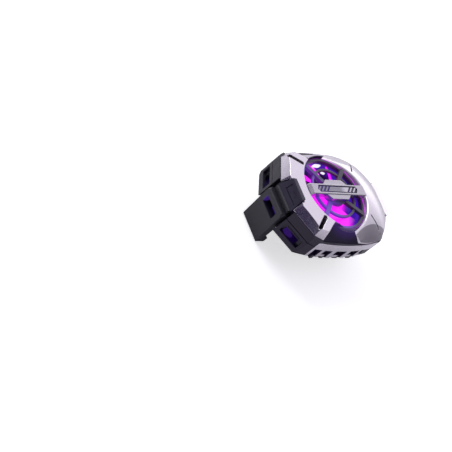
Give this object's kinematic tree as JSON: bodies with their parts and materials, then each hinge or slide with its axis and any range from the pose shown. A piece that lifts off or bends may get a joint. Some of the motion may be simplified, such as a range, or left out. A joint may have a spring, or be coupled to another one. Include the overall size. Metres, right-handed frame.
{
  "type": "phone cooling fan",
  "caption": "Clip-on phone cooler: silver and dark angular body, round lit fan behind a spoked grille with a bar across it, two sprung clip arms and a cold contact face behind.",
  "frame": {"origin": "centre of the contact pad's outer face, the face that lies on the phone's back", "axes": "X to the phone's right, Y to the phone's top, Z outwards along the fan's axis; right-handed"},
  "size_m": [0.0796, 0.0566, 0.0387],
  "materials": {
    "dark_plastic": "fine satin moulded plastic, charcoal",
    "black_plastic": "satin black moulded plastic",
    "silver_plastic": "satin silver metallic paint",
    "dark_gloss": "dark glossy window",
    "light_guide": "milky light guide, lit magenta",
    "clear_fan_plastic": "smoky clear plastic, lit violet",
    "led_package": "small white lamp packages",
    "circuit_board": "solder-masked board",
    "chip_plastic": "moulded chip bodies",
    "screw_steel": "plated steel",
    "core_steel": "laminated core steel",
    "magnet": "dark bonded magnet",
    "bearing_bronze": "sintered bronze",
    "copper_wire": "enamelled copper wire",
    "sink_aluminium": "bare machined aluminium",
    "white_ceramic": "white ceramic tiles",
    "foam_rubber": "closed-cell foam",
    "pad_rubber": "soft warm grey silicone"
  },
  "bodies": {
    "body": {"back_shell": "dark_plastic", "mid_frame": "dark_plastic", "left_cover": "silver_plastic", "right_cover": "silver_plastic", "upper_panel": "dark_plastic", "lower_panel": "dark_plastic", "upper_vent_trim": "silver_plastic", "lower_vent_trim": "silver_plastic", "grille": "black_plastic", "badge_bar": "silver_plastic", "badge_insert": "dark_gloss", "badge_stripes": "silver_plastic", "badge_screws": "screw_steel", "light_ring": "light_guide", "led_board": "circuit_board", "leds": "led_package", "bearing_sleeve": "bearing_bronze", "stator_core": "core_steel", "stator_coils": "copper_wire", "motor_board": "circuit_board", "fan_base": "dark_plastic", "fan_screws": "screw_steel", "body_screws": "screw_steel", "heatsink": "sink_aluminium", "peltier_module": "white_ceramic", "insulation_gasket": "foam_rubber", "cold_plate": "sink_aluminium", "contact_pad": "pad_rubber", "control_board": "circuit_board", "board_chips": "chip_plastic", "usb_socket": "screw_steel", "left_springs": "screw_steel", "right_springs": "screw_steel"},
    "left_clip": {"left_arm": "dark_plastic", "left_knuckle": "dark_plastic", "knuckle_insert": "black_plastic", "left_arm_pad": "pad_rubber"},
    "right_clip": {"right_claw": "dark_plastic", "right_claw_pad": "pad_rubber", "claw_cap": "silver_plastic"},
    "fan": {"impeller": "clear_fan_plastic", "rotor_magnet": "magnet", "rotor_shaft": "screw_steel", "shaft_clip": "screw_steel"}
  },
  "joints": [
    {"name": "fan_spin", "type": "hinge", "parent": "body", "child": "fan", "pos_m": [0, 0, 0.017], "axis": [0, 0, 1], "continuous": true},
    {"name": "left_clip_slide", "type": "slide", "parent": "body", "child": "left_clip", "axis": [-1, 0, 0], "range_m": [0, 0.008], "stiffness_N_per_m": 400, "springref_m": -0.006, "deforming": ["left_springs"]},
    {"name": "right_clip_slide", "type": "slide", "parent": "body", "child": "right_clip", "axis": [1, 0, 0], "range_m": [0, 0.014], "stiffness_N_per_m": 250, "springref_m": -0.008, "deforming": ["right_springs"]}
  ]
}
